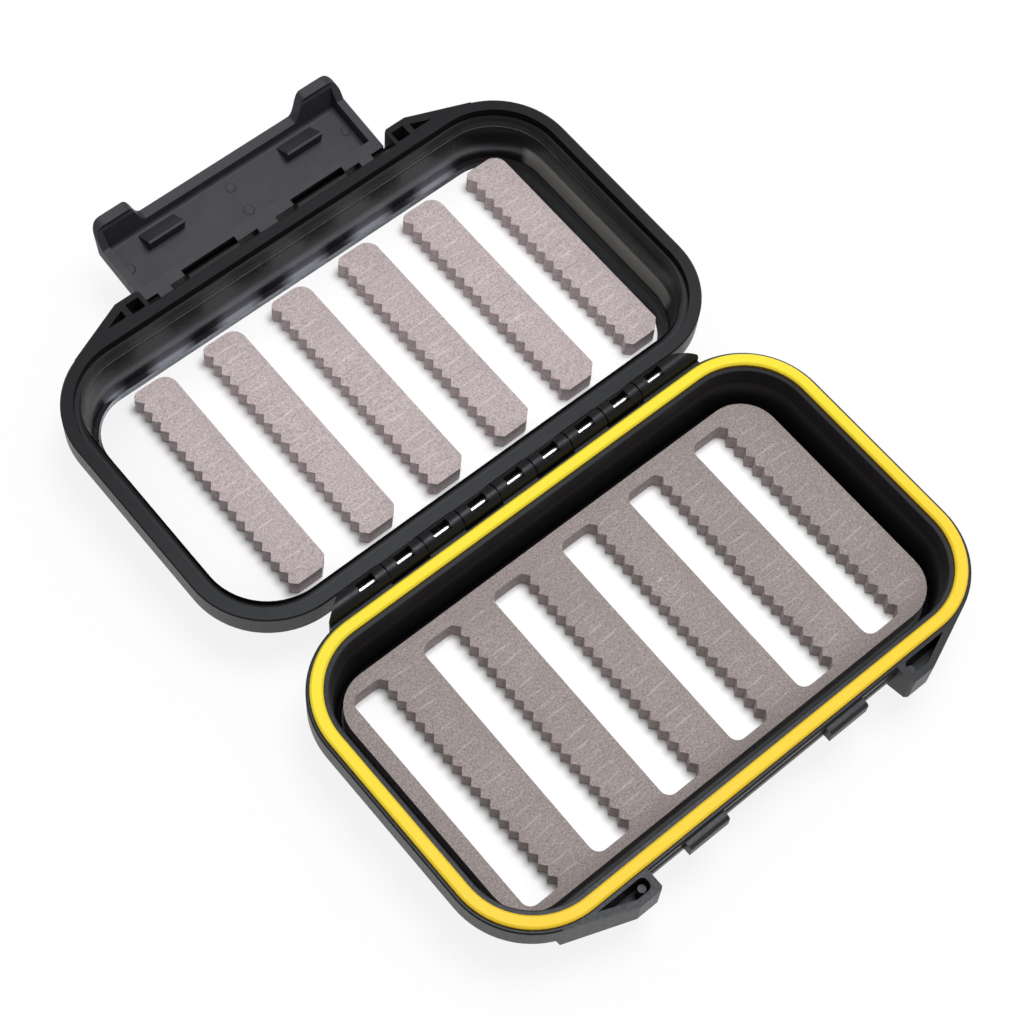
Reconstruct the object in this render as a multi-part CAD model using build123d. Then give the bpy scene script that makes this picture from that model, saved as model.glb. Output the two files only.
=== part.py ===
from build123d import *
import math
import os

# Fly box: two equal moulded halves on one steel hinge pin, lying open at 180 degrees.
# Millimetres. Origin: centre of the tray's underside. +X runs along the hinge, +Y points
# from the tray to the opened lid, +Z is up. Both halves open upwards.

# ---- case halves ---------------------------------------------------------------------
case_length = 120.0
case_width = 70.9
corner_radius = 17.5
half_height = 16.4          # underside to rim face
band_height = 5.8           # straight outer band below the rim
wall = 1.9
floor_thickness = 2.85
draft = 5.5                 # degrees, cavity and body walls
cavity_inset = 4.3          # outer face of the band to the cavity's mouth
floor_bevel = 0.7
body_fillet = 3.0
band_bevel = 0.25
frame_groove_inset = 9.0    # shallow groove that frames the underside
frame_groove_width = 1.2
frame_groove_depth = 0.5

# ---- tray rim and gasket -------------------------------------------------------------
gasket_inset = 2.0          # outer face of the band to the gasket's centre line
gasket_width = 2.5
gasket_proud = 1.0          # above the tray's rim
gasket_bevel = 0.4
gasket_groove_depth = 2.2
gasket_clearance = 0.05

# ---- lid rim -------------------------------------------------------------------------
seal_band = 2.45            # flat face that meets the gasket
seal_groove_width = 0.3
seal_groove_depth = 2.1
ledge_drop = 1.7            # ledge inside the seal band, below the rim face
lid_cavity_inset = 3.95

# ---- hinge ---------------------------------------------------------------------------
hinge_offset = 2.3          # band face to hinge axis
hinge_rise = 0.6            # hinge axis above the rim faces
knuckle_radius = 2.1
hinge_row_inset = 29.2      # end of the case to the first joint between knuckles
inner_knuckles = 7          # between the two long end knuckles of the tray
knuckle_gap = 0.3
end_knuckle_length = 14.4
end_knuckle_taper = 5.2     # length of the slanted end
end_knuckle_foot = 0.55     # square foot of the slanted end, off the band face
knuckle_gusset_angle = 40.0
hinge_pin_radius = 0.75
hinge_pin_reach = 9.7       # past the last joint
window_length = 3.9
window_width = 2.3
window_depth = 1.0          # below the hinge axis
pin_clearance = 0.05
pin_end_clearance = 0.2
rail_out = 1.5              # rail under the knuckles, off the tray's band
rail_drop = 2.1
rail_height = 2.6
lid_rest_tilt = 0.85        # degrees short of flat where the opened lid comes to rest

# ---- wings beside the latch ----------------------------------------------------------
wing_flat_length = 5.4      # inner face to the bend
wing_angle = 22.0           # where the wing leaves the corner, and its slant
wing_out = 4.05
wing_front_height = 7.2
wing_back_height = 9.5
wing_corner_x = 0.6
wing_corner_y = 0.5
wing_wall = 1.35
wing_floor = 1.0
wing_pocket_fillet = 1.1
wing_post_radius = 0.8
wing_post_drop = 2.0

# ---- latch pivot on the lid ----------------------------------------------------------
pivot_out = 2.3             # band face to pivot axis
pivot_drop = 4.5            # rim face down to pivot axis
pivot_window_wall = 0.9
pivot_window_length = 3.0
pivot_window_width = 2.6
pivot_rib = 1.35            # between the window and the pocket
lid_pocket_wall = 1.8
lid_pocket_gap = 0.4        # band face to the pocket
tongue_out = 2.85           # ledge in front of the band, in the latch's recess
tongue_drop = 3.6
tongue_height = 1.9
tongue_gusset = 1.2
tongue_round = 0.3
tongue_inner = 7.3
tongue_gap = 0.4            # to the outer end of the recess

# ---- latch -----------------------------------------------------------------------------
latch_open_tilt = 7.95      # degrees above the lid's own level in the open pose
latch_rest_shift = -0.3     # the open latch lies against one side of its play
latch_end_gap = 0.5         # to the wings
journal_radius = 0.75       # pivots moulded on the latch
journal_reach = 3.0         # past the latch's ends
journal_clearance = 0.05
latch_plate = 1.57
latch_plate_drop = 3.4      # pivot axis to the outer face
latch_beam_near = 0.7       # beam along the pivot, its two faces from the axis
latch_beam_far = 3.35
latch_side_wall = 1.7
latch_side_top = 1.2
latch_length = 18.9         # pivot axis to the tips of the horns
latch_end_lean = 14.5       # degrees, end wall
latch_end_wall = 2.1
latch_end_fillet = 0.9
latch_middle_top = 0.25     # top of the end wall between the horns
latch_horn_top = 5.5
latch_horn_rise = 2.8       # length over which the side walls climb to the horns
latch_horn_width = 7.9      # from the latch's ends
latch_horn_slope = 3.8      # run of the S-shaped flank
latch_horn_round = 3.0
latch_corner_round = 2.0
latch_edge_round = 1.4
latch_pad_reach = 1.75      # pads that close the gap to the band
latch_pad_round = 0.4
latch_middle_pad = 2.2
latch_outer_pad_inset = 6.4
latch_outer_pad_length = 3.0
latch_recess_inner = 7.0
latch_recess_inset = 10.0   # from the latch's ends
latch_recess_depth = 2.0

# ---- catch -----------------------------------------------------------------------------
hook_inset = 8.5            # from the latch's ends
hook_width = 8.6
hook_clearance = 0.2        # under the lug when shut
hook_bite = 0.65            # behind the lug's front face when shut
hook_tip = 0.5
hook_ramp = 3.4
lug_outer_margin = 0.3      # past the hook's ends
lug_inner_margin = 0.4
lug_out = 1.75
lug_top = 1.0               # below the rim face
lug_bottom = 4.2
lug_round = 0.9
bead_drop = 2.6
bead_height = 0.6
bead_out = 0.2

# ---- foam and liners ---------------------------------------------------------------------
liner_thickness = 0.5
liner_end_clearance = 1.5
liner_side_clearance = 0.55
liner_corner = 9.0
lid_liner_shift = 0.87      # it lies towards one end
lid_liner_back = 0.3        # and against the hinge's side
foam_thickness = 4.4
foam_end_clearance = 1.9
foam_side_clearance = 1.85
foam_corner = 8.0
slot_count = 6
slot_width = 8.85
first_slot_width = 8.0
first_slot_end = 10.95      # foam's end to the first slot's notches
last_slot_bar = 9.05        # last slot's notches to the foam's other end
slot_end_margin = 2.4
slot_shift = -0.45          # the slots sit a little nearer the front
slot_round = 2.0
slot_chamfer = 0.8
slot_tooth_pitch = 2.68
slot_tooth_end = 0.1
tooth_depth = 1.1
strip_end_space = 6.6       # floor's width less the strips' length
strip_width = 8.8           # over the tooth tips
first_strip_inset = 14.92   # end of the floor to the first strip's centre line
last_strip_inset = 8.62
strip_shift = -0.3          # a little towards the hinge
strip_tooth_pitch = 2.7
strip_tooth_end = 1.4
strip_round = 2.8           # at the straight side
strip_small_round = 1.5
strip_chamfer = 2.0
strip_small_chamfer = 1.2
strip_slant = -0.4          # degrees, the first strip was pressed in slightly askew

# ---- what follows from them ---------------------------------------------------------------
half_length = case_length / 2
half_width = case_width / 2
rim_z = half_height
band_z = rim_z - band_height
draft_slope = math.tan(math.radians(draft))
body_inset = cavity_inset + band_height * draft_slope - wall
floor_inset = cavity_inset + (rim_z - floor_thickness) * draft_slope
hinge_y = half_width + hinge_offset
hinge_z = rim_z + hinge_rise
joint_half = half_length - hinge_row_inset
knuckle_pitch = 2 * joint_half / inner_knuckles
hinge_end = joint_half + end_knuckle_length
pin_half = joint_half + hinge_pin_reach
front_y = -half_width
tip_y = front_y - wing_out
pivot_y = front_y - pivot_out
pivot_z = rim_z - pivot_drop
plate_in = latch_plate - latch_plate_drop
wing_turn = math.radians(wing_angle)
wing_touch_x = half_length - corner_radius + corner_radius * math.sin(wing_turn)
wing_touch_y = corner_radius - half_width - corner_radius * math.cos(wing_turn)
wing_bend_x = wing_touch_x - (wing_touch_y - tip_y) / math.tan(wing_turn)
wing_inner = wing_bend_x - wing_flat_length
latch_half_width = wing_inner - latch_end_gap
latch_recess_outer = latch_half_width - latch_recess_inset
tongue_outer = latch_recess_outer - tongue_gap
hook_outer = latch_half_width - hook_inset
hook_inner = hook_outer - hook_width
lug_outer = hook_outer + lug_outer_margin
lug_inner = hook_inner - lug_inner_margin
lid_swing = Pos(0, hinge_y, hinge_z) * Rot(lid_rest_tilt, 0, 0)
lid_place = lid_swing * Pos(0, hinge_y, -hinge_z) * Rot(0, 0, 180)
latch_rest = Pos(latch_rest_shift, hinge_y - pivot_y, pivot_z - hinge_z) * Rot(latch_open_tilt, 0, 0)
latch_place = lid_swing * latch_rest
floor_half_length = half_length - floor_inset - floor_bevel
floor_half_width = half_width - floor_inset - floor_bevel
foam_half_length = half_length - floor_inset - foam_end_clearance
foam_half_width = half_width - floor_inset - foam_side_clearance
foam_z = floor_thickness + liner_thickness
slot_pitch = (2 * foam_half_length - first_slot_end - last_slot_bar) / (slot_count - 1)
strip_length = 2 * floor_half_width - strip_end_space
strip_pitch = (2 * floor_half_length - first_strip_inset - last_strip_inset) / (slot_count - 1)


def plan(inset, height=0.0, up=1):
    """Rounded outline of the case, moved in from the band's face, at a height."""
    outline = RectangleRounded(case_length - 2 * inset, case_width - 2 * inset, corner_radius - inset)
    return Plane(origin=(0, 0, height), z_dir=(0, 0, up)) * outline


def ring(outer_inset, inner_inset, low, high):
    """Upright ring between two insets of the case outline."""
    return extrude(plan(outer_inset, low), high - low) - extrude(plan(inner_inset, low), high - low)


def block(x0, x1, y0, y1, z0, z1):
    """Box between two corners."""
    return Pos((x0 + x1) / 2, (y0 + y1) / 2, (z0 + z1) / 2) * Box(x1 - x0, y1 - y0, z1 - z0)


def prism_x(points, x0, x1):
    """Side profile of (y, z) points, extruded along X."""
    face = make_face(Polyline(*[(x0, y, z) for y, z in points], close=True))
    return extrude(face, x1 - x0, dir=(1, 0, 0))


def prism_z(points, z0, z1):
    """Plan outline of (x, y) points, extruded upwards."""
    face = make_face(Polyline(*[(x, y, z0) for x, y in points], close=True))
    return extrude(face, z1 - z0, dir=(0, 0, 1))


def rod_x(radius, x0, x1, y, z):
    """Round rod along X."""
    return Pos((x0 + x1) / 2, y, z) * Rot(0, 90, 0) * Cylinder(radius, x1 - x0)


def both_sides(solid):
    """A solid and its mirror image across the middle of the case."""
    return solid + mirror(solid, about=Plane.YZ)


# ---- one half of the case ------------------------------------------------------------------
def cavity(mouth_inset):
    """Drafted inside of a half, bevelled where it meets the floor."""
    hollow = extrude(plan(mouth_inset, rim_z, -1), rim_z - floor_thickness, taper=draft)
    return chamfer(hollow.edges().group_by(Axis.Z)[0], floor_bevel)


def half_body():
    """Outer form of a half: straight band, drafted body, framed underside."""
    band = extrude(plan(0, band_z), band_height)
    band = chamfer(band.edges().group_by(Axis.Z)[0] + band.edges().group_by(Axis.Z)[-1], band_bevel)
    body = extrude(plan(body_inset, band_z, -1), band_z, taper=draft)
    body = fillet(body.edges().group_by(Axis.Z)[0], body_fillet)
    frame = ring(frame_groove_inset, frame_groove_inset + frame_groove_width, 0, frame_groove_depth)
    return band + body - frame


def wing():
    """Solid wing at +X, level with the rim, its underside climbing away from the body."""
    inner_y = corner_radius - half_width
    outline = [(wing_inner, inner_y), (wing_inner, tip_y + wing_corner_y),
               (wing_inner + wing_corner_x, tip_y), (wing_bend_x, tip_y), (wing_touch_x, wing_touch_y),
               (wing_touch_x, inner_y)]
    side = [(inner_y, rim_z), (tip_y, rim_z), (tip_y, rim_z - wing_front_height),
            (front_y + body_inset, rim_z - wing_back_height), (inner_y, rim_z - wing_back_height)]
    return prism_z(outline, rim_z - wing_back_height, rim_z) & prism_x(side, wing_inner, wing_touch_x)


def pocket_line(wall_thickness):
    """Inner face of the wing's walls: depth of the flat part, its end, and the run per depth."""
    bend_x = wing_bend_x - wall_thickness * math.tan(wing_turn / 2)
    return tip_y + wall_thickness, bend_x, 1 / math.tan(wing_turn)


# ---- hinge -----------------------------------------------------------------------------------
def knuckle(x0, x1):
    """Hinge barrel between two positions, with the gusset that carries it."""
    angle = math.radians(knuckle_gusset_angle)
    root_y = half_width - gasket_inset / 4
    out_y = hinge_y + knuckle_radius * math.sin(angle)
    out_z = hinge_z - knuckle_radius * math.cos(angle)
    root_z = out_z - (out_y - root_y) * math.tan(angle)
    side = [(root_y, rim_z), (hinge_y, rim_z), (hinge_y, hinge_z), (out_y, out_z), (root_y, root_z)]
    return rod_x(knuckle_radius, x0, x1, hinge_y, hinge_z) + prism_x(side, x0, x1)


def pin_window(x):
    """Well over the pin at the middle of a knuckle."""
    return block(x - window_length / 2, x + window_length / 2, hinge_y - window_width / 2,
                 hinge_y + window_width / 2, hinge_z - window_depth, hinge_z + 2 * knuckle_radius)


def knuckle_row(first):
    """Every second inner knuckle, starting with number first, each clear of its joints."""
    row = []
    for i in range(first, inner_knuckles, 2):
        start = knuckle_pitch * i - joint_half
        one = knuckle(start + knuckle_gap / 2, start + knuckle_pitch - knuckle_gap / 2)
        row.append(one - pin_window(start + knuckle_pitch / 2))
    return row


def end_knuckle():
    """Long knuckle at +X that slants back to the tray's face."""
    start = joint_half + knuckle_gap / 2
    far_y = hinge_y + knuckle_radius
    foot_y = half_width + end_knuckle_foot
    outline = [(start, 0), (hinge_end, 0), (hinge_end, foot_y), (hinge_end - end_knuckle_taper, far_y),
               (start, far_y)]
    shape = knuckle(start, hinge_end) & prism_z(outline, 0, hinge_z + 2 * knuckle_radius)
    return shape - pin_window(joint_half + knuckle_pitch / 2)


def hinge_rail():
    """Rail along the tray's band below the knuckles, bevelled underneath."""
    top = rim_z - rail_drop
    out_y = half_width + rail_out
    root_y = half_width - gasket_inset / 4
    side = [(root_y, top), (out_y, top), (out_y, top - rail_height + rail_out), (half_width, top - rail_height),
            (root_y, top - rail_height)]
    return prism_x(side, -joint_half, joint_half)


def hinge_pin():
    return rod_x(hinge_pin_radius, -pin_half, pin_half, hinge_y, hinge_z)


def tray_bore():
    """Bore that grips the pin in the tray's knuckles: open at -X, blind at +X."""
    return rod_x(hinge_pin_radius, -hinge_end, pin_half + pin_end_clearance, hinge_y, hinge_z)


# ---- tray ------------------------------------------------------------------------------------
def tray_wing():
    """Wing of the tray at +X, with its pocket and the small post at the inner end."""
    low = rim_z - wing_front_height + wing_floor
    outer_y, bend_x, run = pocket_line(wing_wall)
    x0 = wing_inner + wing_wall
    far_x = bend_x + (front_y - outer_y) * run
    pocket = prism_z([(x0, front_y), (x0, outer_y), (bend_x, outer_y), (far_x, front_y)], low, rim_z)
    inner_edges = pocket.edges().filter_by(Axis.Z).sort_by(Axis.X)[:2]
    pocket = fillet(inner_edges, wing_pocket_fillet)
    post_height = rim_z - low - wing_post_drop
    post_y = (front_y + outer_y) / 2
    post_x = x0 + wing_post_radius + wing_clear()
    post = Pos(post_x, post_y, low + post_height / 2) * Cylinder(wing_post_radius, post_height)
    return wing() - pocket + post


def wing_clear():
    """Space between the pocket's inner end and its post."""
    return wing_post_radius / 2


def catch_lug():
    """Catch lug at +X on the tray's front, rounded where the hook rides over it."""
    bar = block(lug_inner, lug_outer, front_y - lug_out, front_y + gasket_inset / 4,
                rim_z - lug_bottom, rim_z - lug_top)
    edge = bar.edges().filter_by(Axis.X).group_by(Axis.Y)[0].sort_by(Axis.Z)[-1]
    return fillet(edge, lug_round)


def front_bead():
    """Low bead along the tray's front between the wings."""
    return block(-wing_inner, wing_inner, front_y - bead_out, front_y + gasket_inset / 4,
                 rim_z - bead_drop - bead_height, rim_z - bead_drop)


def tray_shell():
    groove_half = gasket_width / 2 + gasket_clearance
    shell = half_body() + front_bead() + both_sides(tray_wing()) + both_sides(catch_lug())
    shell = shell + hinge_rail() + knuckle_row(1) + both_sides(end_knuckle())
    shell = shell - cavity(cavity_inset)
    shell = shell - ring(gasket_inset - groove_half, gasket_inset + groove_half,
                         rim_z - gasket_groove_depth, rim_z)
    return shell - tray_bore()


def gasket():
    """Sealing ring in the tray's groove, flat below and bevelled above."""
    half = gasket_width / 2
    cord = ring(gasket_inset - half, gasket_inset + half, rim_z - gasket_groove_depth,
                rim_z + gasket_proud)
    return chamfer(cord.edges().group_by(Axis.Z)[-1], gasket_bevel)


# ---- lid, in the tray's own attitude: hinge at +Y, latch at -Y ------------------------------
def lid_wing():
    """Wing of the lid at +X, with the window over the latch's journal and a small pocket."""
    low = rim_z - wing_front_height + wing_floor
    outer_y = pocket_line(wing_wall)[0]
    window_x = wing_inner + pivot_window_wall
    window = block(window_x, window_x + pivot_window_length, outer_y, outer_y + pivot_window_width, low, rim_z)
    outer_y, bend_x, run = pocket_line(lid_pocket_wall)
    near_y = front_y - lid_pocket_gap
    x0 = window_x + pivot_window_length + pivot_rib
    start_y = outer_y + max(0, x0 - bend_x) / run
    pocket = prism_z([(x0, near_y), (x0, start_y), (bend_x + (near_y - outer_y) * run, near_y)], low, rim_z)
    bore = rod_x(journal_radius + journal_clearance, wing_inner - wing_wall, window_x + pivot_window_length,
                 pivot_y, pivot_z)
    return wing() - window - pocket - bore


def tongue():
    """Ledge at +X in front of the lid's band, standing in the latch's recess."""
    root_y = front_y + gasket_inset / 4
    out_y = front_y - tongue_out
    top = rim_z - tongue_drop
    side = [(root_y, top), (out_y, top), (out_y, top - tongue_height), (root_y, top - tongue_height - tongue_gusset)]
    ledge = prism_x(side, tongue_inner, tongue_outer)
    edge = ledge.edges().filter_by(Axis.X).group_by(Axis.Y)[0].sort_by(Axis.Z)[-1]
    return fillet(edge, tongue_round)


def lid_shell():
    shell = half_body() + both_sides(lid_wing()) + both_sides(tongue())
    shell = shell + knuckle_row(0)
    shell = shell - cavity(lid_cavity_inset)
    shell = shell - ring(seal_band, lid_cavity_inset, rim_z - ledge_drop, rim_z)
    shell = shell - ring(seal_band, seal_band + seal_groove_width, rim_z - seal_groove_depth, rim_z)
    bore = rod_x(hinge_pin_radius + pin_clearance, -joint_half, joint_half, hinge_y, hinge_z)
    return shell - bore


# ---- latch: pivot on X at the origin, +Y to its end, +Z towards the case when shut ----------
def latch_form():
    """Outer form of the latch: plate, side walls, and the leaning end wall with its horns."""
    lean = math.tan(math.radians(latch_end_lean))
    foot = latch_length - (latch_horn_top + latch_plate_drop) * lean
    horn_back = latch_length - latch_end_wall
    side_end = horn_back - latch_horn_rise
    side = [(latch_beam_near, -latch_plate_drop), (foot, -latch_plate_drop),
            (latch_length, latch_horn_top), (horn_back, latch_horn_top), (horn_back, latch_horn_top - 1),
            (side_end, latch_side_top), (latch_beam_near, latch_side_top)]
    form = prism_x(side, -latch_half_width, latch_half_width)
    ends = [e for e in form.edges() if abs(abs(e.center().X) - latch_half_width) < 0.001
            and abs(e.center().Y - (foot + latch_length) / 2) < 0.001]
    form = fillet(ends, latch_corner_round)
    low = form.edges().filter_by(Axis.X).group_by(Axis.Z)[0]
    return fillet(low, latch_edge_round)


def latch_hollow():
    """Space inside the latch, between the beam along the pivot and the end wall."""
    lean = math.tan(math.radians(latch_end_lean))
    back = latch_length - latch_end_wall - (latch_horn_top - plate_in) * lean
    high = latch_horn_top + 1
    x0 = latch_side_wall - latch_half_width
    side = [(latch_beam_far, plate_in), (back, plate_in), (back + (high - plate_in) * lean, high),
            (latch_beam_far, high)]
    hollow = prism_x(side, x0, -x0)
    return fillet(hollow.edges().filter_by(Axis.X).group_by(Axis.Z)[0], latch_end_fillet)


def latch_notch():
    """Space between the horns, with S-shaped flanks, through the end wall."""
    y0 = latch_length - latch_end_wall - latch_horn_rise - hook_tip
    shoulder = latch_half_width - latch_horn_width
    foot_x = shoulder - latch_horn_slope
    bend = (foot_x + shoulder) / 2
    high = latch_horn_top + 1
    flank = [(foot_x, latch_middle_top), (bend, latch_middle_top), (bend, latch_horn_top),
             (shoulder, latch_horn_top)]
    right = Bezier(*[(x, y0, z) for x, z in flank])
    left = Bezier(*[(-x, y0, z) for x, z in flank])
    foot = Line((-foot_x, y0, latch_middle_top), (foot_x, y0, latch_middle_top))
    top = Polyline((shoulder, y0, latch_horn_top), (shoulder, y0, high),
                   (-shoulder, y0, high), (-shoulder, y0, latch_horn_top))
    return extrude(make_face([right, top, left, foot]), latch_length, dir=(0, 1, 0))


def latch_horn_mask():
    """Rounded upper corners of the horns, seen from the latch's end."""
    depth = 4 * latch_horn_top
    outline = RectangleRounded(2 * latch_half_width, depth, latch_horn_round)
    end_plane = Plane(origin=(0, 2 * latch_length, latch_horn_top - depth / 2), x_dir=(1, 0, 0),
                      z_dir=(0, -1, 0))
    return extrude(end_plane * outline, 3 * latch_length)


def latch_pad(x0, x1):
    """Pad that carries the beam up to the band, round below where the latch swings."""
    pad = block(x0, x1, -latch_pad_reach, latch_beam_near + latch_edge_round, -latch_plate_drop, latch_side_top)
    near = pad.edges().filter_by(Axis.X).group_by(Axis.Y)[0].sort_by(Axis.Z)
    pad = fillet(near[0], latch_edge_round)
    near = pad.edges().filter_by(Axis.X).group_by(Axis.Y)[0].sort_by(Axis.Z)
    return fillet(near[-1], latch_pad_round)


def hook():
    """Wedge at +X that catches under the tray's lug."""
    catch_y = lug_bottom + pivot_drop + 2 * hinge_rise + hook_clearance
    tip_z = pivot_out - lug_out + hook_bite
    root_z = plate_in - latch_plate / 4
    side = [(catch_y, root_z), (catch_y, tip_z), (catch_y + hook_tip, tip_z),
            (catch_y + hook_tip + hook_ramp, plate_in), (catch_y + hook_tip + hook_ramp, root_z)]
    return prism_x(side, hook_inner, hook_outer)


def latch():
    body = latch_form() & latch_horn_mask()
    body = body - latch_hollow() - latch_notch() + both_sides(hook())
    recess = block(latch_recess_inner, latch_recess_outer, 0, latch_recess_depth, plate_in, latch_length)
    body = body - both_sides(recess)
    pad_start = latch_half_width - latch_outer_pad_inset
    pad_end = pad_start + latch_outer_pad_length
    body = body + latch_pad(-latch_middle_pad, latch_middle_pad)
    body = body + both_sides(latch_pad(pad_start, pad_end))
    journal = rod_x(journal_radius, pad_start, latch_half_width + journal_reach, 0, 0)
    return body + both_sides(journal)


# ---- foam and liners -------------------------------------------------------------------------
def liner():
    """Thin sheet on the floor of a half."""
    length = 2 * (floor_half_length - liner_end_clearance)
    width = 2 * (floor_half_width - liner_side_clearance)
    return extrude(Pos(0, 0, floor_thickness) * RectangleRounded(length, width, liner_corner), liner_thickness)


def tooth_line(notch_x, tip_x, length, pitch, plain_end):
    """Zigzag from top to bottom, centred on y = 0."""
    count = int((length - 2 * plain_end) / pitch)
    top = (count - 1) * pitch / 2
    points = [(tip_x, top + pitch / 2)]
    for i in range(count):
        y = top - i * pitch
        points.append((notch_x, y))
        points.append((tip_x, y - pitch / 2))
    return points


def foam_slot(left_x, notch_x):
    """Slot in the tray's foam: straight with round corners at -X, toothed at +X."""
    top = foam_half_width - slot_end_margin
    tip_x = notch_x - tooth_depth
    zigzag = tooth_line(notch_x, tip_x, 2 * top, slot_tooth_pitch, slot_tooth_end)
    points = [(left_x, -top), (left_x, top), (tip_x - slot_chamfer, top), *zigzag, (tip_x - slot_chamfer, -top)]
    slot = prism_z(points, foam_z, foam_z + foam_thickness)
    round_edges = [e for e in slot.edges().filter_by(Axis.Z) if abs(e.center().X - left_x) < 0.001]
    return Pos(0, slot_shift, 0) * fillet(round_edges, slot_round)


def tray_foam():
    outline = RectangleRounded(2 * foam_half_length, 2 * foam_half_width, foam_corner)
    foam = extrude(Pos(0, 0, foam_z) * outline, foam_thickness)
    for i in range(slot_count):
        notch_x = first_slot_end - foam_half_length + i * slot_pitch
        width = first_slot_width if i == 0 else slot_width
        foam = foam - foam_slot(notch_x - width, notch_x)
    return foam


def foam_strip(number):
    """Loose strip on the lid's floor: straight at +X, toothed at -X."""
    right = strip_width / 2
    top = strip_length / 2
    zigzag = tooth_line(tooth_depth - right, -right, strip_length, strip_tooth_pitch, strip_tooth_end)
    points = [(right, top), (-right, top), *zigzag, (-right, -top + strip_small_chamfer),
              (-right + strip_small_chamfer, -top), (right - strip_chamfer, -top),
              (right, -top + strip_chamfer)]
    strip = prism_z(points, foam_z, foam_z + foam_thickness)
    plain_end = top - zigzag[0][1]
    corners = strip.edges().filter_by(Axis.Z).group_by(Axis.Y)[-1].sort_by(Axis.X)
    strip = fillet(corners[-1], strip_round)
    corners = strip.edges().filter_by(Axis.Z).group_by(Axis.X)[0].sort_by(Axis.Y)
    strip = fillet(corners[-1], min(strip_small_round, 0.95 * plain_end))
    x = first_strip_inset - floor_half_length + number * strip_pitch
    turn = strip_slant if number == 0 else 0
    return lid_swing * Pos(x, hinge_y + strip_shift, -hinge_z) * Rot(0, 0, turn) * strip


def build():
    nodes = {
        "tray": tray_shell(),
        "gasket": gasket(),
        "hinge_pin": hinge_pin(),
        "tray_liner": liner(),
        "tray_foam": tray_foam(),
        "lid": lid_place * lid_shell(),
        "lid_liner": lid_place * Pos(lid_liner_shift, lid_liner_back, 0) * liner(),
        "latch": latch_place * latch(),
    }
    for number in range(slot_count):
        nodes[f"lid_foam_strip_{number + 1}"] = foam_strip(number)
    return nodes


os.makedirs("parts", exist_ok=True)
for name, solid in build().items():
    solid.label = name
    export_step(solid, f"parts/{name}.step")
    print(name, round(solid.volume, 1), len(solid.solids()))
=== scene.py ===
import math
import random

import bmesh
import bpy
from mathutils import Matrix, Vector, noise
from mathutils.geometry import delaunay_2d_cdt

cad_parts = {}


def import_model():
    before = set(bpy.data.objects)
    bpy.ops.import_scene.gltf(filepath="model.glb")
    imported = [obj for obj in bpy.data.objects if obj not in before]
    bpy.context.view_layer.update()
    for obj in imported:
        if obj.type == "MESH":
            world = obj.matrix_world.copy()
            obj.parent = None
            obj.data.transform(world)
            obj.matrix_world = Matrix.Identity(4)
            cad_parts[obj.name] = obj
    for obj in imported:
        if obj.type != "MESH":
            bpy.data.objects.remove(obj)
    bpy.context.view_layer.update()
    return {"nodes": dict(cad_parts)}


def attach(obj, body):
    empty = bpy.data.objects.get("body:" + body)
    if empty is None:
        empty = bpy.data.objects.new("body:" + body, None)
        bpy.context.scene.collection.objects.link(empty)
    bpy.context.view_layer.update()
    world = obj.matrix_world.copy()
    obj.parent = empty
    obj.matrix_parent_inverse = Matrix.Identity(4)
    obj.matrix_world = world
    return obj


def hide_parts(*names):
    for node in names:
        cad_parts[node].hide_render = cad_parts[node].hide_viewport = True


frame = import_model()

# Named measures are in mm, apart from the light's and the camera's. The scene itself is in metres, so
# positions inside a material are too unless they have been multiplied by 1000. Colours are linear RGB.
MM = 0.001                                      # one mm in metres
HALF_L, HALF_W, CORNER = 60.0, 35.45, 17.5      # outline of each half's band
RIM = 16.4                                      # height of both rims
HINGE_Y, HINGE_Z = HALF_W + 2.3, RIM + 0.6
LID_Y = 2 * HINGE_Y                             # centre of the opened lid
LID_TILT = math.radians(0.85)
PIVOT_Y, PIVOT_Z = 113.317, 13.021              # latch pivot at rest
LATCH_TILT, LATCH_SHIFT = math.radians(8.8), -0.3

# foam: the tray's sheet and its slots, then the lid's strips
FOAM_Z, FOAM_T, FOAM_ROUND = 3.35, 4.4, 0.14
TOP_DROP, TOP_SWELL = 0.03, 0.03                # the top lies a little low, and is uneven
SHEET_HALF_X, SHEET_HALF_Y, SHEET_CORNER = 52.5, 28.0, 8.0
TOOTH_DEPTH = 1.1
SLOT_FIRST, SLOT_PITCH, SLOT_TOP, SLOT_SLIDE = 10.95, 17.0, 25.6, -0.45
SLOT_WIDTH, SLOT_WIDTH_FIRST, SLOT_ROUND, SLOT_SHOULDER = 8.85, 8.0, 2, 0.8
SLOT_TEETH, SLOT_TOOTH_PITCH = 19, 2.68
SLOT_SWAYS = ((0.20, 0.005), (0.10, 0.024), (0.05, 0.024),      # sideways shift, and lean per mm of y
              (-0.10, 0.024), (-0.26, 0.024), (-0.12, 0.018))
STRIP_HALF_X, STRIP_TOP = 4.4, 25.845
STRIP_ROUND_SMALL, STRIP_ROUND_BIG, STRIP_BEVEL_SMALL, STRIP_BEVEL_BIG = 1.46, 2.8, 1.2, 2
STRIP_COUNT, STRIP_FIRST, STRIP_PITCH, STRIP_SLIDE = 6, -38.775, 16.77, -0.3
STRIP_TEETH, STRIP_TOOTH_PITCH = 18, 2.7
STRIP_TURNS = (math.radians(-0.4), 0.0, 0.0, 0.0, 0.0, 0.0)
STRIP_OPEN_SLITS = ((), (3, 11), (7,), (2, 12), (9,), (8, 10))  # slits that stand open, per strip
TRAY_SLIT_SEED, TRAY_TOP_SEED, STRIP_SLIT_SEED, STRIP_TOP_SEED = 7, 3, 40, 20

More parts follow.
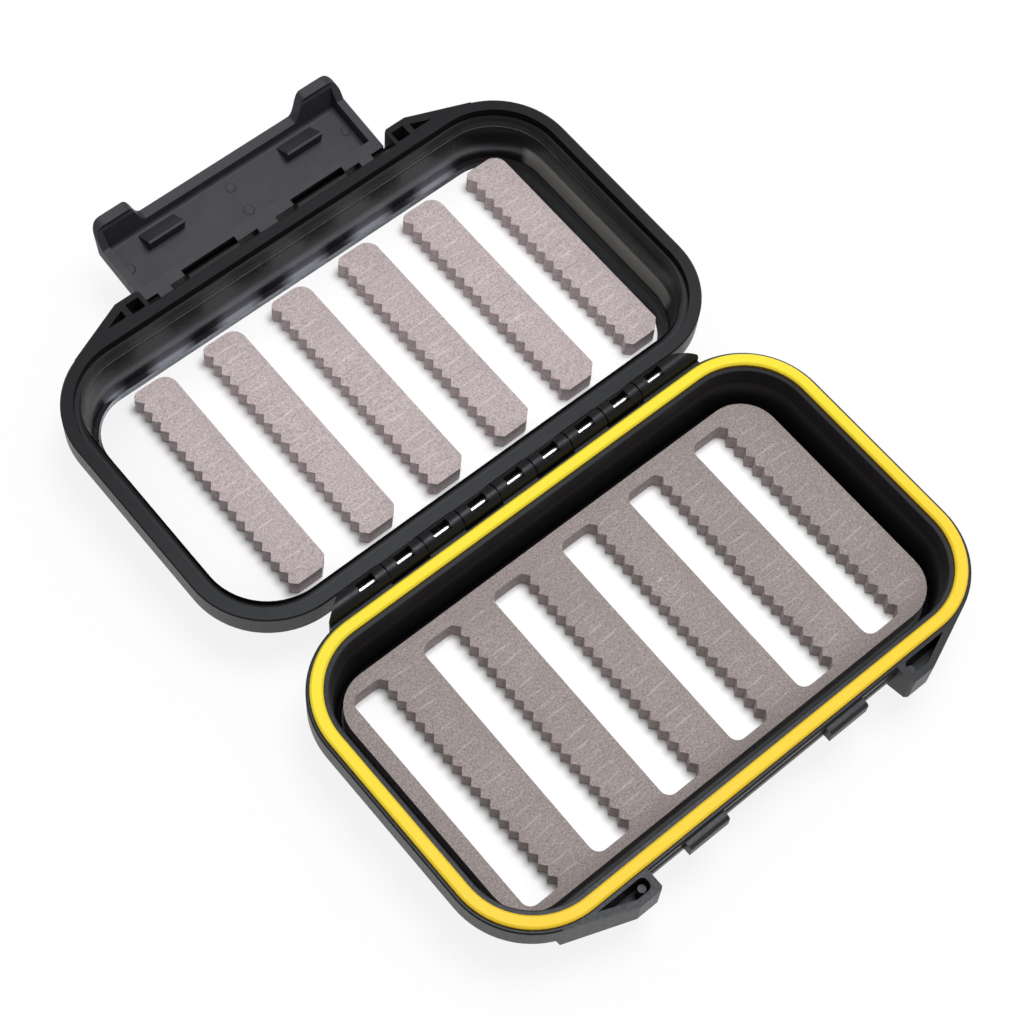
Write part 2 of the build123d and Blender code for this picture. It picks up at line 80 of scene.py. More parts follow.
# fine slits, one per notch
SLIT_LENGTH, SLIT_START, SLIT_STEPS = (4.4, 6.6), 0.22, 7
SLIT_DRIFT, SLIT_WAVE = (-0.35, 0.35), (0.03, 0.12)
SLIT_STRENGTHS = (0.15, 0.3, 0.45, 0.6, 0.8)
SLIT_ROWS = ((-0.21, 0.0, 0.0), (-0.07, 0.9, 0.03), (0.0, -0.35, -0.08),    # offset, lip value, lift
             (0.07, 0.9, 0.03), (0.21, 0.0, 0.0))
OPEN_SLIT = (-0.6, -0.25)                       # value and lift along an open slit
OPEN_SLIT_WAVE, OPEN_SLIT_STRENGTH = 0.16, 0.3
MESH_STEP = 2.4                                 # between the mesh's inner points

# Where looks change on the shells. A pair is the measure where a look begins and where it is full:
# insets from the outer face, heights, and for the lid's inner walls lengths from its centre.
CAVITY_INSET, CAVITY_FLOOR = (4.0, 4.2), (2.3, 2.6)
FACE_INSET, FACE_TOP = (3.6, 3.3), (15.9, 15.6)
UPPER_WALL, LEDGE_WALL = (4.4, 8.6), (12.2, 12.8)
SEAT_Z, STEP_Z, BAND_Z, LIP_INSET = RIM - 1.7, 13.15, 13.9, 3.86
EDGE_REACH = (-10, 22)
SHEEN_Z, SHEEN_REACH = (9.5, 3.2), (29.3, 29.7)
BAR_Z, BAR_X, BAR_FAR_END, BAR_NEAR_END = 6.4, (53.7, 54.2), (23.2, 21.4), (-26.0, -21.0)
# and on the latch, along it from its pivot and off its plate
CREVICE_END, CREVICE_TOP, CREVICE_FOOT = (2.06, 2.02), (1.14, 1.0), (-3.3, -3.1)
RING_SIDE = (-2.2, -2.0)
RING_MARKS = ((0.0, 6.0, 1.15), (0.0, 12.1, 1.1),              # x, distance along, radius
              (-27.0, 9.0, 1.05), (27.0, 9.0, 1.05))
# and on the gasket and the tray's foam
GASKET_SIDE, GASKET_REACH = (RIM + 0.80, RIM + 0.30), 36.0
FOAM_FRONT_SHADE = (-22.5, -SHEET_HALF_Y)

# colours
BLACK_DARK, BLACK_LIGHT = (0.0052, 0.0050, 0.0057), (0.0086, 0.0083, 0.0092)
BAND_DARK, BAND_LIGHT = (0.017, 0.0165, 0.0175), (0.024, 0.0235, 0.0245)
# painted highlight on the edges of the lid's ledge
EDGE_HIGHLIGHT = (0.17, 0.17, 0.18)
# painted reflections on the lid's far and right inner walls
FAR_WALL_PAINTED_REFLECTION, RIGHT_WALL_PAINTED_REFLECTION = (0.25, 0.25, 0.295), (0.25, 0.245, 0.220)
LATCH_DARK, LATCH_LIGHT = (0.0235, 0.0232, 0.0295), (0.036, 0.0355, 0.0440)
# ring marks, then painted shade for the latch's crevice
RING_DARK, CREVICE_PAINTED_SHADE = (0.014, 0.014, 0.016), (0.0045, 0.0045, 0.0045)
# gasket yellows with painted light: shaded front, lit back, shaded sides
YELLOW_SHADED_FRONT, YELLOW_LIT_BACK, YELLOW_SHADED_SIDE = (0.88, 0.600, 0.032), (0.87, 0.725, 0.038), (0.26, 0.11, 0.008)
STEEL_DARK, STEEL_LIGHT = (0.62, 0.61, 0.58), (0.80, 0.79, 0.77)
LINER_DARK, LINER_LIGHT = (0.945, 0.945, 0.955), (0.970, 0.970, 0.978)
LINER_BORDER = (0.012, 0.012, 0.012)
# foam: dark cells, light cells, torn lips and flecks
TRAY_FOAM = ((0.205, 0.173, 0.166), (0.445, 0.380, 0.367), (0.63, 0.565, 0.545))
LID_FOAM = ((0.315, 0.262, 0.266), (0.640, 0.540, 0.545), (0.79, 0.71, 0.71))

# light and camera, in metres
KEY_PLACE, KEY_TARGET, KEY_SIZE, KEY_WATTS = (0.15, 0.05, 0.76), (0, 0.04, 0), (0.34, 0.34), 4.6
WORLD_LIGHT, WORLD_SEEN = 0.42, 1.0
FLOOR_SIZE, FLOOR_GLOW = 3.0, 0.86
CAMERA_PLACE, CAMERA_TURN = (-0.14621, -0.10607, 0.41008), (0.46522013, -0.04904299, -0.69847057)
CAMERA_LENS, CAMERA_SENSOR = 82.85, 36.0


# ---- node helpers ------------------------------------------------------------------------
class Nodes:
    """A material's node tree, with short calls for the nodes used here."""

    def __init__(self, name):
        self.mat = bpy.data.materials.new(name)
        self.mat.use_nodes = True
        self.tree = self.mat.node_tree
        self.bsdf = self.tree.nodes["Principled BSDF"]
        self.out = self.tree.nodes["Material Output"]

    def add(self, kind, **props):
        node = self.tree.nodes.new(kind)
        for key, value in props.items():
            setattr(node, key, value)
        return node

    def link(self, a, b):
        self.tree.links.new(a, b)

    def coords(self):
        return self.add("ShaderNodeTexCoord").outputs["Object"]

    def math(self, op, a, b=0.0, clamp=False):
        node = self.add("ShaderNodeMath", operation=op, use_clamp=clamp)
        for i, value in enumerate((a, b)):
            if isinstance(value, (int, float)):
                node.inputs[i].default_value = value
            else:
                self.link(value, node.inputs[i])
        return node.outputs[0]

    def times(self, first, *rest):
        """Product of several values."""
        for value in rest:
            first = self.math("MULTIPLY", first, value)
        return first

    def hypot(self, a, b):
        return self.math("SQRT", self.math("ADD", self.times(a, a), self.times(b, b)))

    def noise(self, vector, scale, detail=2.0, rough=0.5, distort=0.0):
        node = self.add("ShaderNodeTexNoise")
        node.inputs["Scale"].default_value = scale
        node.inputs["Detail"].default_value = detail
        node.inputs["Roughness"].default_value = rough
        node.inputs["Distortion"].default_value = distort
        self.link(vector, node.inputs["Vector"])
        return node.outputs["Fac"]

    def mix(self, fac, a, b):
        node = self.add("ShaderNodeMix", data_type="RGBA")
        for socket, value in ((node.inputs[0], fac), (node.inputs[6], a), (node.inputs[7], b)):
            if isinstance(value, (int, float)):
                socket.default_value = value
            elif isinstance(value, tuple):
                socket.default_value = (*value, 1)
            else:
                self.link(value, socket)
        return node.outputs[2]

    def span(self, value, lo, hi, a=0.0, b=1.0):
        node = self.add("ShaderNodeMapRange")
        node.inputs["From Min"].default_value = lo
        node.inputs["From Max"].default_value = hi
        node.inputs["To Min"].default_value = a
        node.inputs["To Max"].default_value = b
        self.link(value, node.inputs["Value"])
        return node.outputs[0]

    def span_mm(self, value, pair, a=0.0, b=1.0, origin=0.0):
        """span of a measure in metres between the two of a pair in mm, counted from origin."""
        return self.span(value, (origin + pair[0]) * MM, (origin + pair[1]) * MM, a, b)

    def near(self, value, centre, full, gone, level=1.0):
        """level while value is within full of centre, falling to 0 at gone."""
        gap = self.math("ABSOLUTE", self.math("SUBTRACT", value, centre))
        return self.span(gap, full, gone, level, 0.0)

    def bump(self, height, strength, distance, normal=None):
        node = self.add("ShaderNodeBump")
        node.inputs["Strength"].default_value = strength
        node.inputs["Distance"].default_value = distance
        self.link(height, node.inputs["Height"])
        if normal is not None:
            self.link(normal, node.inputs["Normal"])
        return node.outputs[0]

    def xyz(self, vector):
        node = self.add("ShaderNodeSeparateXYZ")
        self.link(vector, node.inputs[0])
        return node.outputs

    def inset(self, vector, centre_y, half_l=HALF_L, half_w=HALF_W, corner=CORNER):
        """Distance in mm inwards from a rounded outline, by default a half's outer face."""
        p = self.xyz(vector)
        x = self.math("SUBTRACT", self.math("ABSOLUTE", p[0]), (half_l - corner) * MM)
        y = self.math("SUBTRACT", p[1], centre_y * MM)
        y = self.math("SUBTRACT", self.math("ABSOLUTE", y), (half_w - corner) * MM)
        ox = self.math("MAXIMUM", x, 0.0)
        oy = self.math("MAXIMUM", y, 0.0)
        out = self.hypot(ox, oy)
        inner = self.math("MINIMUM", self.math("MAXIMUM", x, y), 0.0)
        d = self.math("SUBTRACT", self.math("ADD", out, inner), corner * MM)
        return self.math("MULTIPLY", d, -1000.0)


# ---- materials ---------------------------------------------------------------------------
def lid_edge_highlights(n, colour, p, z, inset, inside, streak):
    """Painted highlights along the edges of the lid's ledge, clearest at the far side."""
    far = n.span_mm(p[1], EDGE_REACH, 0.12, 1.0, LID_Y)
    seat = n.near(z, SEAT_Z, 0.10, 0.30)
    lip = n.times(n.near(inset, LIP_INSET, 0.06, 0.13), seat)
    step = n.times(n.near(z, STEP_Z, 0.12, 0.24, 0.8), inside)
    band = n.times(n.near(z, BAND_Z, 0.70, 0.85, 0.22), inside)
    edge = n.times(n.math("MAXIMUM", n.math("MAXIMUM", lip, step), band), far)
    edge = n.times(edge, n.span(streak, 0.3, 0.7, 0.65, 1.0))
    return n.mix(edge, colour, EDGE_HIGHLIGHT)


def lid_painted_reflections(n, colour, p, z, inside):
    """Painted reflections inside the lid: soft light between the strips at the far wall, and a bar of
    light on the right wall.
    """
    first_gap = STRIP_FIRST + STRIP_PITCH / 2
    foot = n.span(z, *SHEEN_Z)
    turns = n.times(n.math("ADD", p[0], -first_gap * MM), 2 * math.pi / (STRIP_PITCH * MM))
    sheen = n.times(foot, foot, n.span(n.math("COSINE", turns), -0.65, 0.5))
    sheen = n.times(sheen, n.span_mm(p[1], SHEEN_REACH, origin=LID_Y), inside)
    colour = n.mix(sheen, colour, FAR_WALL_PAINTED_REFLECTION)
    bar = n.times(n.near(z, BAR_Z, 1.9, 2.7), n.span_mm(p[0], BAR_X))
    for end in (BAR_FAR_END, BAR_NEAR_END):
        bar = n.times(bar, n.span_mm(p[1], end, origin=LID_Y))
    bar = n.times(bar, inside)
    return n.mix(bar, colour, RIGHT_WALL_PAINTED_REFLECTION)


def shell_material(name, centre_y, tilt, gloss, is_lid):
    """Black moulded shell, satin outside and glossier inside."""
    n = Nodes(name)
    level = n.add("ShaderNodeVectorRotate", rotation_type="X_AXIS")
    level.inputs["Center"].default_value = (0, HINGE_Y * MM, HINGE_Z * MM)
    level.inputs["Angle"].default_value = -tilt
    n.link(n.coords(), level.inputs["Vector"])
    pos = level.outputs[0]
    inset = n.inset(pos, centre_y)
    p = n.xyz(pos)
    z = n.times(p[2], 1000.0)
    inside = n.times(n.span(inset, *CAVITY_INSET), n.span(z, *CAVITY_FLOOR))
    fine = n.noise(pos, 9000, 3, 0.6)
    mottle = n.noise(pos, 160, 3, 0.55)
    streak = n.noise(pos, 1400, 2, 0.5)
    colour = n.mix(mottle, BLACK_DARK, BLACK_LIGHT)
    wall = n.times(n.span(inset, *FACE_INSET), n.span(z, *FACE_TOP))
    colour = n.mix(wall, colour, n.mix(mottle, BAND_DARK, BAND_LIGHT))
    if is_lid:
        # painted highlights on the edges of the lid's ledge
        colour = lid_edge_highlights(n, colour, p, z, inset, inside, streak)
        # painted reflections on the lid's inner walls
        colour = lid_painted_reflections(n, colour, p, z, inside)
    n.link(colour, n.bsdf.inputs["Base Color"])
    high = n.span(z, *UPPER_WALL)
    outer_rough = n.span(streak, 0.3, 0.7, 0.36, 0.44)
    inner_rough = n.math("ADD", n.span(mottle, 0.3, 0.7, gloss, gloss + 0.05), n.times(high, 0.12))
    outside = n.math("SUBTRACT", 1.0, inside)
    rough = n.math("ADD", n.times(inside, inner_rough), n.times(outside, outer_rough))
    n.link(rough, n.bsdf.inputs["Roughness"])
    grain = n.times(fine, n.span(inside, 0, 1, 1.0, 0.15))
    normal = n.bump(grain, 0.25, 0.00002)
    n.link(n.bump(mottle, 0.12, 0.0003, normal), n.bsdf.inputs["Normal"])
    n.bsdf.inputs["IOR"].default_value = 1.7
    n.bsdf.inputs["Specular Tint"].default_value = (0.90, 0.94, 1.0, 1)
    # a lid shines near its foot; above the inner walls both halves are duller
    shine = n.math("ADD", n.times(inside, n.span(high, 0, 1, 0.75, 0.0)) if is_lid else 0.0, 0.14)
    dull = n.times(inside, n.span(z, *LEDGE_WALL))
    n.link(n.times(shine, n.span(dull, 0, 1, 1.0, 0.35)), n.bsdf.inputs["Specular IOR Level"])
    return n.mat


def latch_material():
    """Matt grey moulding with four ring marks inside, and painted shade in the crevice behind its beam.
    """
    n = Nodes("latch_grey")
    pos = n.coords()
    p = n.xyz(pos)
    # u runs along the latch from its pivot, w stands off its plate
    x = n.math("SUBTRACT", n.times(p[0], 1000.0), LATCH_SHIFT)
    dy = n.math("SUBTRACT", n.times(p[1], 1000.0), PIVOT_Y)
    dz = n.math("SUBTRACT", n.times(p[2], 1000.0), PIVOT_Z)
    cos, sin = math.cos(LATCH_TILT), math.sin(LATCH_TILT)
    u = n.math("ADD", n.times(dy, cos), n.times(dz, sin))
    w = n.math("SUBTRACT", n.times(dz, cos), n.times(dy, sin))
    # painted shade in the crevice behind the beam, where little light reaches
    crevice_shade = n.times(n.span(u, *CREVICE_END), n.span(w, *CREVICE_TOP), n.span(w, *CREVICE_FOOT))
    rings = dips = 0.0
    for ring_x, ring_u, r in RING_MARKS:
        d = n.hypot(n.math("SUBTRACT", x, ring_x), n.math("SUBTRACT", u, ring_u))
        rings = n.math("MAXIMUM", rings, n.near(d, r, 0.0, 0.16))
        dips = n.math("MAXIMUM", dips, n.span(d, r - 0.22, r + 0.04, 1.0, 0.0))
    inner_side = n.span(w, *RING_SIDE)
    rings, dips = n.times(rings, inner_side), n.times(dips, inner_side)
    fine = n.noise(pos, 7000, 3, 0.6)
    mottle = n.noise(pos, 220, 4, 0.6)
    colour = n.mix(mottle, LATCH_DARK, LATCH_LIGHT)
    colour = n.mix(n.times(rings, 0.5), colour, RING_DARK)
    colour = n.mix(crevice_shade, colour, CREVICE_PAINTED_SHADE)
    n.link(n.span(crevice_shade, 0, 1, 0.28, 0.05), n.bsdf.inputs["Specular IOR Level"])
    n.link(colour, n.bsdf.inputs["Base Color"])
    n.link(n.span(mottle, 0.3, 0.7, 0.48, 0.58), n.bsdf.inputs["Roughness"])
    normal = n.bump(fine, 0.35, 0.00003)
    normal = n.bump(n.math("SUBTRACT", n.times(mottle, 0.4), dips), 0.8, 0.00012, normal)
    n.link(normal, n.bsdf.inputs["Normal"])
    return n.mat


def gasket_material():
    """Yellow rubber with painted shade: more orange towards the front, and darker orange on its sides.
    """
    n = Nodes("gasket_yellow")
    pos = n.coords()
    z = n.xyz(pos)[2]
    tone = n.noise(pos, 60, 3, 0.5)
    y = n.math("ADD", n.xyz(pos)[1], n.span(tone, 0.3, 0.7, -0.006, 0.006))
    # painted light: lighter towards the back, more orange and shaded towards the front
    colour = n.mix(n.span_mm(y, (-GASKET_REACH, GASKET_REACH)), YELLOW_SHADED_FRONT, YELLOW_LIT_BACK)
    # painted shade on the sides, which go down into the groove
    shaded_side = n.span_mm(z, GASKET_SIDE)
    colour = n.mix(n.times(shaded_side, 0.9), colour, YELLOW_SHADED_SIDE)
    n.link(colour, n.bsdf.inputs["Base Color"])
    fine = n.noise(pos, 3000, 3, 0.6)
    n.link(n.span(tone, 0.3, 0.7, 0.42, 0.52), n.bsdf.inputs["Roughness"])
    n.link(n.bump(fine, 0.15, 0.00002), n.bsdf.inputs["Normal"])
    n.bsdf.inputs["Specular IOR Level"].default_value = 0.18
    n.bsdf.inputs["Subsurface Weight"].default_value = 0.15
    n.bsdf.inputs["Subsurface Radius"].default_value = (0.0008, 0.0005, 0.0001)
    n.bsdf.inputs["Subsurface Scale"].default_value = 1.0
    return n.mat


def steel_material():
    """Ground steel, with fine lines along X."""
    n = Nodes("pin_steel")
    pos = n.coords()
    stretch = n.add("ShaderNodeMapping")
    stretch.inputs["Scale"].default_value = (0.15, 1, 1)
    n.link(pos, stretch.inputs["Vector"])
    lines = n.noise(stretch.outputs[0], 6000, 4, 0.7)
    n.link(n.mix(lines, STEEL_DARK, STEEL_LIGHT), n.bsdf.inputs["Base Color"])
    n.bsdf.inputs["Metallic"].default_value = 1.0
    n.link(n.span(lines, 0.3, 0.7, 0.20, 0.30), n.bsdf.inputs["Roughness"])
    n.link(n.bump(lines, 0.1, 0.00001), n.bsdf.inputs["Normal"])
    return n.mat


def liner_material(name, border):
    """White sheet. With border, it is black where it reaches past the tray's foam."""
    n = Nodes(name)
    pos = n.coords()
    tone = n.noise(pos, 90, 3, 0.5)
    colour = n.mix(tone, LINER_DARK, LINER_LIGHT)
    if border:
        covered = n.inset(pos, 0.0, SHEET_HALF_X, SHEET_HALF_Y, SHEET_CORNER)
        colour = n.mix(n.span(covered, 0.6, 0.4), colour, LINER_BORDER)
    n.link(colour, n.bsdf.inputs["Base Color"])
    n.link(n.span(tone, 0.3, 0.7, 0.42, 0.52), n.bsdf.inputs["Roughness"])
    n.link(n.bump(n.noise(pos, 2500, 2, 0.5), 0.08, 0.00002), n.bsdf.inputs["Normal"])
    return n.mat


def foam_material(name, dark, light, lip, front_shade=0.0):
    """Closed-cell foam. The mesh's slit attribute is above 0 on torn lips and below 0 in open slits."""
    n = Nodes(name)
    pos = n.coords()
    cells = n.noise(pos, 2600, 4, 0.8, 0.4)
    flecks = n.noise(pos, 1500, 4, 0.75, 0.6)
    patches = n.noise(pos, 110, 3, 0.55)
    colour = n.mix(n.span(cells, 0.38, 0.62), dark, light)
    fleck = n.span(flecks, 0.58, 0.72, 0.0, 0.6)
    colour = n.mix(fleck, colour, lip)
    colour = n.mix(n.span(patches, 0.3, 0.7, 0.0, 0.25), colour, dark)
    # painted shade along the foam's front edge, where the tray's front wall keeps light off it
    if front_shade:
        shaded = n.span_mm(n.xyz(pos)[1], FOAM_FRONT_SHADE, 0.0, front_shade)
        colour = n.mix(shaded, colour, tuple(0.6 * c for c in dark))
    slit = n.add("ShaderNodeAttribute", attribute_name="slit").outputs["Fac"]
    colour = n.mix(n.math("MULTIPLY", slit, 0.9, True), colour, tuple(1.22 * c for c in lip))
    # painted shade inside open slits
    shade = tuple(0.45 * c for c in dark)
    colour = n.mix(n.math("MULTIPLY", slit, -0.9, True), colour, shade)
    n.link(colour, n.bsdf.inputs["Base Color"])
    n.bsdf.inputs["Roughness"].default_value = 0.9
    n.bsdf.inputs["Specular IOR Level"].default_value = 0.25
    n.bsdf.inputs["Sheen Weight"].default_value = 0.15
    n.bsdf.inputs["Sheen Roughness"].default_value = 0.5
    height = n.math("ADD", cells, n.times(flecks, 0.6))
    n.link(n.bump(height, 0.55, 0.00009), n.bsdf.inputs["Normal"])
    return n.mat


# ---- foam ----------------------------------------------------------------------------------
def arc(cx, cy, r, a0, a1, steps):
    """Points of a circular arc between two angles in degrees."""
    return [(cx + r * math.cos(math.radians(a0 + (a1 - a0) * i / steps)),
             cy + r * math.sin(math.radians(a0 + (a1 - a0) * i / steps))) for i in range(steps + 1)]


def contains(points, x, y):
    """True where (x, y) lies inside the closed outline."""
    hit = False
    j = len(points) - 1
    for i, (xi, yi) in enumerate(points):
        xj, yj = points[j]
        if (yi > y) != (yj > y) and x < (xj - xi) * (y - yi) / (yj - yi) + xi:
            hit = not hit
        j = i
    return hit


def zigzag(notch_x, tip_x, count, pitch):
    """Toothed edge from top to bottom, centred on y = 0."""
    top = (count - 1) * pitch / 2
    points = [(tip_x, top + pitch / 2)]
    for i in range(count):
        points += [(notch_x, top - i * pitch), (tip_x, top - (i + 0.5) * pitch)]
    return points


def notch_rows(count, pitch):
    """The notches' y, from top to bottom."""
    return [((count - 1) / 2 - k) * pitch for k in range(count)]


def slit_lines(notches, rng, opened=()):
    """One slit per notch: its centre line, whether it stands open, and its strength."""
    lines = []
    for k, (x, y) in enumerate(notches):
        length = rng.uniform(*SLIT_LENGTH)
        drift = rng.uniform(*SLIT_DRIFT)
        wave = OPEN_SLIT_WAVE if k in opened else rng.uniform(*SLIT_WAVE)
        phase = rng.uniform(0, 6.3)
        line = []
        for i in range(SLIT_STEPS + 1):
            t = i / SLIT_STEPS
            bend = drift * t * t + wave * math.sin(phase + 5.5 * t) * min(1, 3 * t)
            line.append((x + (SLIT_START + length * t), y + bend))
        strength = OPEN_SLIT_STRENGTH if k in opened else rng.choice(SLIT_STRENGTHS)
        lines.append((line, k in opened, strength))
    return lines


def mesh_object(name, bm):
    """Scene object holding the finished bmesh."""
    mesh = bpy.data.meshes.new(name)
    bm.to_mesh(mesh)
    bm.free()
    obj = bpy.data.objects.new(name, mesh)
    bpy.context.collection.objects.link(obj)
    return obj


def foam_mesh(name, outline, holes, slits, seed, matrix=None):
    """Foam slab with a softly uneven top, fine slits and rounded cut edges."""
    verts, edges, marks = [], [], []        # a mark is a point's slit value and its lift

    def loop(points):
        start = len(verts)
        verts.extend(Vector(p) for p in points)
        marks.extend((0.0, 0.0) for _ in points)
        count = len(points)
        edges.extend((start + i, start + (i + 1) % count) for i in range(count))

    def in_foam(x, y):
        return contains(outline, x, y) and not any(contains(hole, x, y) for hole in holes)

    for points in [outline] + holes:
        loop(points)
    for line, is_open, strength in slits:
        for offset, lip, lift in SLIT_ROWS:
            start = len(verts)
            for i, (x, y) in enumerate(line):
                t = i / (len(line) - 1)
                end = min(1.0, 4 * (1 - t))
                if is_open and offset == 0.0:
                    verts.append(Vector((x, y)))
                    marks.append((OPEN_SLIT[0], OPEN_SLIT[1] * end))
                else:
                    verts.append(Vector((x, y + offset * min(1.0, 0.25 + 2 * t))))
                    marks.append((lip * (end * strength), lift * (end * strength)))
            edges.extend((start + i, start + i + 1) for i in range(len(line) - 1))
    xs = [p[0] for p in outline]
    ys = [p[1] for p in outline]
    x = min(xs) + MESH_STEP / 2
    while x < max(xs):
        y = min(ys) + MESH_STEP / 2
        while y < max(ys):
            if in_foam(x, y):
                verts.append(Vector((x, y)))
                marks.append((0.0, 0.0))
            y += MESH_STEP
        x += MESH_STEP
    out, _, faces, orig, _, _ = delaunay_2d_cdt(verts, edges, [], 0, 1e-4)
    value = []
    for sources in orig:
        known = [marks[s] for s in sources if s < len(marks)]
        value.append(known[0] if known else (0.0, 0.0))
    bm = bmesh.new()
    layer = bm.verts.layers.float.new("slit")
    rng = random.Random(seed)
    shift = Vector((rng.uniform(0, 50), rng.uniform(0, 50), 0))
    top, low = [], []
    for p, (lip, lift) in zip(out, value):
        swell = noise.noise(Vector((p.x * 0.07, p.y * 0.07, 0)) + shift) * TOP_SWELL
        v = bm.verts.new((p.x, p.y, FOAM_Z + FOAM_T - TOP_DROP + swell + lift))
        v[layer] = lip
        top.append(v)
        low.append(bm.verts.new((p.x, p.y, FOAM_Z)))
    for face in faces:
        c = sum((out[i] for i in face), Vector((0, 0))) / 3
        if in_foam(c.x, c.y):
            bm.faces.new([top[i] for i in face])
            bm.faces.new([low[i] for i in reversed(face)])
    for edge in [e for e in bm.edges if len(e.link_faces) == 1 and e.verts[0].co.z > FOAM_Z + 1]:
        a, b = edge.verts
        i, j = top.index(a), top.index(b)
        bm.faces.new([b, a, low[i], low[j]])
    for v in [v for v in bm.verts if not v.link_faces]:
        bm.verts.remove(v)
    bmesh.ops.recalc_face_normals(bm, faces=bm.faces)
    bmesh.ops.scale(bm, vec=(MM, MM, MM), verts=bm.verts)
    if matrix is not None:
        bmesh.ops.transform(bm, matrix=matrix, verts=bm.verts)
    obj = mesh_object(name, bm)
    bevel = obj.modifiers.new("soft_edge", "BEVEL")
    bevel.width = FOAM_ROUND * MM
    bevel.segments = 2
    bevel.limit_method = "ANGLE"
    bevel.angle_limit = math.radians(40)
    for poly in obj.data.polygons:
        poly.use_smooth = True
    obj.data.set_sharp_from_angle(angle=math.radians(35))
    return obj


def tray_foam():
    """The tray's foam sheet, with six slots toothed along their right side."""
    dx, dy, r = SHEET_HALF_X - SHEET_CORNER, SHEET_HALF_Y - SHEET_CORNER, SHEET_CORNER
    outline = (arc(dx, dy, r, 0, 90, 10) + arc(-dx, dy, r, 90, 180, 10)
               + arc(-dx, -dy, r, 180, 270, 10) + arc(dx, -dy, r, 270, 360, 10))
    rng = random.Random(TRAY_SLIT_SEED)
    holes, slits = [], []
    for i, (shift, lean) in enumerate(SLOT_SWAYS):
        notch = SLOT_FIRST - SHEET_HALF_X + SLOT_PITCH * i + shift
        left = notch - (SLOT_WIDTH_FIRST if i == 0 else SLOT_WIDTH)
        tip = notch - TOOTH_DEPTH
        corner_x, corner_y = left + SLOT_ROUND, SLOT_TOP - SLOT_ROUND
        hole = (arc(corner_x, -corner_y, SLOT_ROUND, 270, 180, 5)
                + arc(corner_x, corner_y, SLOT_ROUND, 180, 90, 5)
                + [(tip - SLOT_SHOULDER, SLOT_TOP)] + zigzag(notch, tip, SLOT_TEETH, SLOT_TOOTH_PITCH)
                + [(tip - SLOT_SHOULDER, -SLOT_TOP)])
        holes.append([(x + lean * max(0.0, y), y + SLOT_SLIDE) for x, y in hole])
        rows = notch_rows(SLOT_TEETH, SLOT_TOOTH_PITCH)
        notches = [(notch + lean * max(0.0, y), y + SLOT_SLIDE) for y in rows]
        slits += slit_lines(notches, rng)
    return foam_mesh("tray_foam_sheet", outline, holes, slits, TRAY_TOP_SEED)


def strip(number):
    """One of the lid's strips, toothed along its left side, in place on the opened lid."""
    half_x, top = STRIP_HALF_X, STRIP_TOP
    round_1, round_2 = STRIP_ROUND_SMALL, STRIP_ROUND_BIG
    bevel_1, bevel_2 = STRIP_BEVEL_SMALL, STRIP_BEVEL_BIG
    notch = TOOTH_DEPTH - half_x
    outline = (arc(half_x - round_2, top - round_2, round_2, 0, 90, 8)
               + arc(round_1 - half_x, top - round_1, round_1, 90, 180, 6)
               + zigzag(notch, -half_x, STRIP_TEETH, STRIP_TOOTH_PITCH)
               + [(-half_x, bevel_1 - top), (bevel_1 - half_x, -top)]
               + [(half_x - bevel_2, -top), (half_x, bevel_2 - top)])
    rng = random.Random(STRIP_SLIT_SEED + number)
    notches = [(notch, y) for y in notch_rows(STRIP_TEETH, STRIP_TOOTH_PITCH)]
    slits = slit_lines(notches, rng, STRIP_OPEN_SLITS[number])
    x = STRIP_FIRST + number * STRIP_PITCH
    place = (Matrix.Translation((0, HINGE_Y * MM, HINGE_Z * MM)) @ Matrix.Rotation(LID_TILT, 4, "X")
             @ Matrix.Translation((x * MM, (HINGE_Y + STRIP_SLIDE) * MM, -HINGE_Z * MM))
             @ Matrix.Rotation(STRIP_TURNS[number], 4, "Z"))
    return foam_mesh(f"lid_foam_piece_{number + 1}", outline, [], slits, STRIP_TOP_SEED + number, place)


tray_foam_look = foam_material("foam_tray", *TRAY_FOAM, front_shade=0.38)
lid_foam_look = foam_material("foam_lid", *LID_FOAM)
sheet = tray_foam()
sheet.data.materials.append(tray_foam_look)
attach(sheet, "tray")
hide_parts("tray_foam")
for k in range(STRIP_COUNT):
    piece = strip(k)
    piece.data.materials.append(lid_foam_look)
    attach(piece, "lid")
    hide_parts(f"lid_foam_strip_{k + 1}")


# ---- carried-over CAD nodes ------------------------------------------------------------------
def dress(node, material):
    """Give a CAD node its one material."""
    obj = frame["nodes"][node]
    obj.data.materials.clear()
    obj.data.materials.append(material)


dress("tray", shell_material("shell_tray", 0.0, 0.0, 0.22, False))
dress("lid", shell_material("shell_lid", LID_Y, LID_TILT, 0.12, True))
dress("latch", latch_material())
dress("gasket", gasket_material())
dress("hinge_pin", steel_material())
dress("tray_liner", liner_material("liner_tray", True))
dress("lid_liner", liner_material("liner_lid", False))


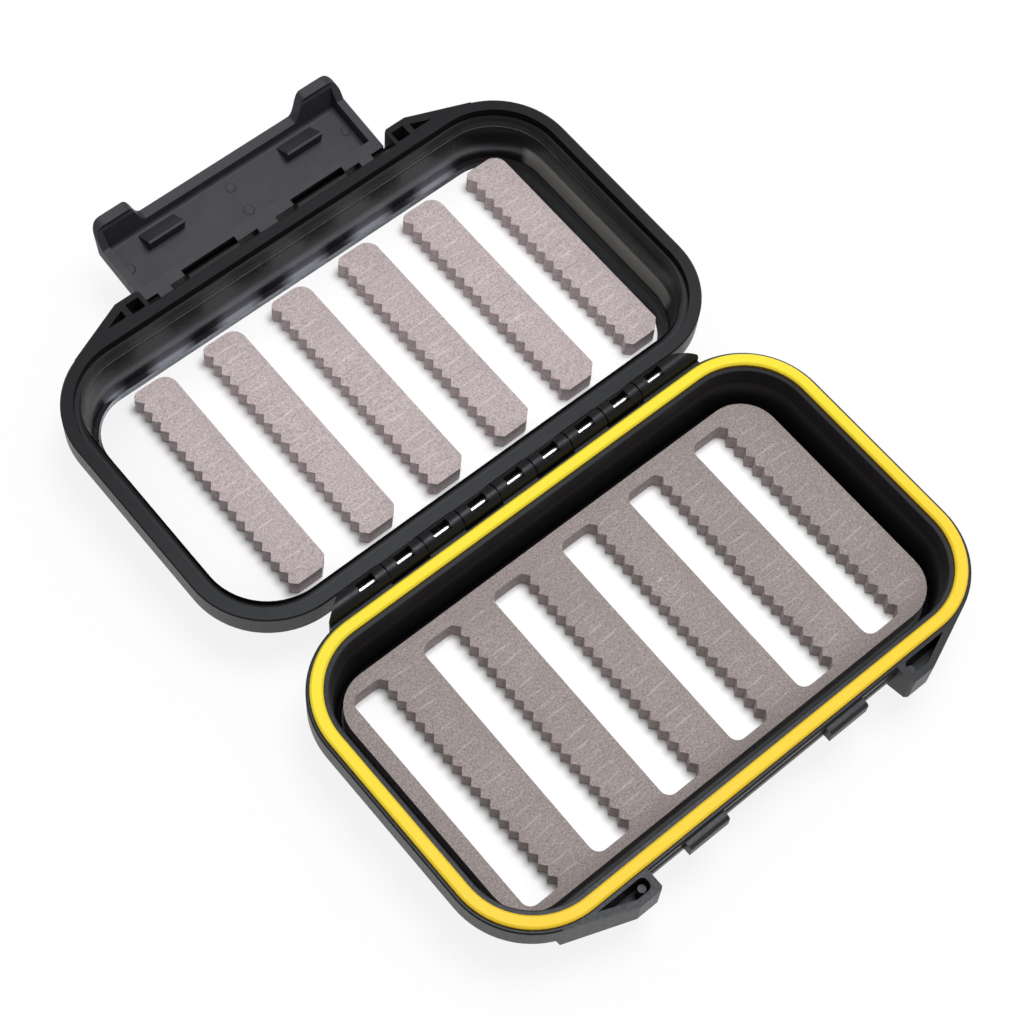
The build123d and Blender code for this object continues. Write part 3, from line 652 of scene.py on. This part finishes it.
# ---- floor, light, camera ----------------------------------------------------------------------
def floor():
    """White floor that keeps a faint shadow and is mostly its own light to the camera."""
    bm = bmesh.new()
    bmesh.ops.create_grid(bm, x_segments=8, y_segments=8, size=FLOOR_SIZE)
    obj = mesh_object("floor", bm)
    n = Nodes("floor_white")
    n.bsdf.inputs["Base Color"].default_value = (0.90, 0.90, 0.905, 1)
    n.bsdf.inputs["Roughness"].default_value = 0.7
    path = n.add("ShaderNodeLightPath")
    seen = n.math("MAXIMUM", path.outputs["Is Camera Ray"], path.outputs["Is Glossy Ray"])
    seen = n.math("MAXIMUM", seen, path.outputs["Is Transmission Ray"])
    glow = n.add("ShaderNodeEmission")
    glow.inputs["Color"].default_value = (1, 1, 1, 1)
    glow.inputs["Strength"].default_value = 1.0
    mix = n.add("ShaderNodeMixShader")
    n.link(n.times(seen, FLOOR_GLOW), mix.inputs[0])
    n.link(n.bsdf.outputs[0], mix.inputs[1])
    n.link(glow.outputs[0], mix.inputs[2])
    n.link(mix.outputs[0], n.out.inputs[0])
    obj.data.materials.append(n.mat)


def area_light(name, place, target, size, power):
    """Rectangular lamp at place, aimed at target."""
    light = bpy.data.lights.new(name, "AREA")
    light.shape = "RECTANGLE"
    light.size, light.size_y = size
    light.energy = power
    obj = bpy.data.objects.new(name, light)
    obj.location = place
    aim = Vector(target) - Vector(place)
    obj.rotation_euler = aim.to_track_quat("-Z", "Y").to_euler()
    bpy.context.collection.objects.link(obj)


def world():
    """Even white light, full white where the camera sees it."""
    w = bpy.data.worlds.new("studio")
    bpy.context.scene.world = w
    w.use_nodes = True
    tree = w.node_tree
    back = tree.nodes["Background"]
    path = tree.nodes.new("ShaderNodeLightPath")
    lift = tree.nodes.new("ShaderNodeMapRange")
    lift.inputs["To Min"].default_value = WORLD_LIGHT
    lift.inputs["To Max"].default_value = WORLD_SEEN
    tree.links.new(path.outputs["Is Camera Ray"], lift.inputs["Value"])
    tree.links.new(lift.outputs[0], back.inputs["Strength"])
    back.inputs["Color"].default_value = (1.0, 1.0, 1.0, 1)


floor()
world()
area_light("key", KEY_PLACE, KEY_TARGET, KEY_SIZE, KEY_WATTS)

cam_data = bpy.data.cameras.new("camera")
cam_data.lens = CAMERA_LENS
cam_data.sensor_width = CAMERA_SENSOR
cam_data.clip_start = 0.01
cam = bpy.data.objects.new("camera", cam_data)
cam.location = CAMERA_PLACE
cam.rotation_euler = CAMERA_TURN
bpy.context.collection.objects.link(cam)
scene = bpy.context.scene
scene.camera = cam
scene.view_settings.view_transform = "Standard"
